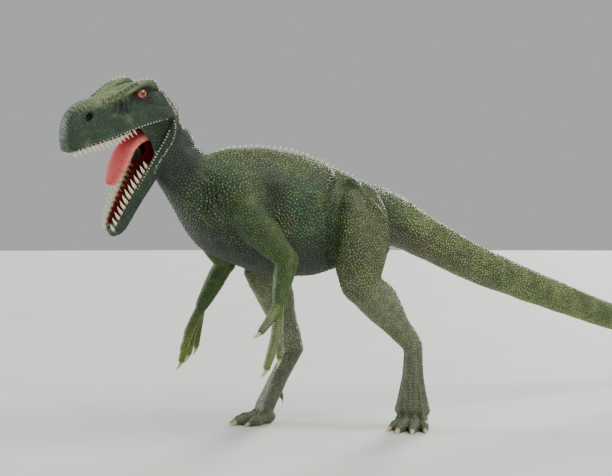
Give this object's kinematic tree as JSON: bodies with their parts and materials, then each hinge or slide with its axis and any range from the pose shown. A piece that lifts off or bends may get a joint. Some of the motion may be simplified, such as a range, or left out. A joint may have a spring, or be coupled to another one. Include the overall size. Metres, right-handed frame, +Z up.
{
  "type": "theropod dinosaur",
  "caption": "Life-size green theropod dinosaur striding on two legs with its mouth wide open, spined back and long tapering tail.",
  "frame": {"origin": "on the floor, under the middle of the bounding box", "axes": "+X towards the tip of the tail, +Y to the animal's right, +Z up"},
  "size_m": [3.9156, 0.6736, 1.423],
  "materials": {
    "scaly_skin": "matte pebbly scales",
    "horn": "satin claw, tooth and spine",
    "mouth_flesh": "moist",
    "eye": "wet gloss"
  },
  "bodies": {
    "root": {"cheek_left": "scaly_skin", "cheek_right": "scaly_skin", "eye_left": "eye", "eye_right": "eye", "finger_claw_left_1": "horn", "finger_claw_left_2": "horn", "finger_claw_left_3": "horn", "finger_claw_right_1": "horn", "finger_claw_right_2": "horn", "finger_claw_right_3": "horn", "foot_left": "scaly_skin", "foot_right": "scaly_skin", "forearm_left": "scaly_skin", "forearm_right": "scaly_skin", "hand_left": "scaly_skin", "hand_right": "scaly_skin", "head": "scaly_skin", "lower_jaw": "scaly_skin", "neck": "scaly_skin", "shank_left": "scaly_skin", "shank_right": "scaly_skin", "tail_end": "scaly_skin", "tail_middle": "scaly_skin", "tail_root": "scaly_skin", "thigh_left": "scaly_skin", "thigh_right": "scaly_skin", "throat": "mouth_flesh", "toe_claw_left_1": "horn", "toe_claw_left_2": "horn", "toe_claw_left_3": "horn", "toe_claw_left_4": "horn", "toe_claw_left_5": "horn", "toe_claw_right_1": "horn", "toe_claw_right_2": "horn", "toe_claw_right_3": "horn", "toe_claw_right_4": "horn", "toe_claw_right_5": "horn", "tongue": "mouth_flesh", "torso": "scaly_skin", "upper_arm_left": "scaly_skin", "upper_arm_right": "scaly_skin"}
  },
  "joints": []
}
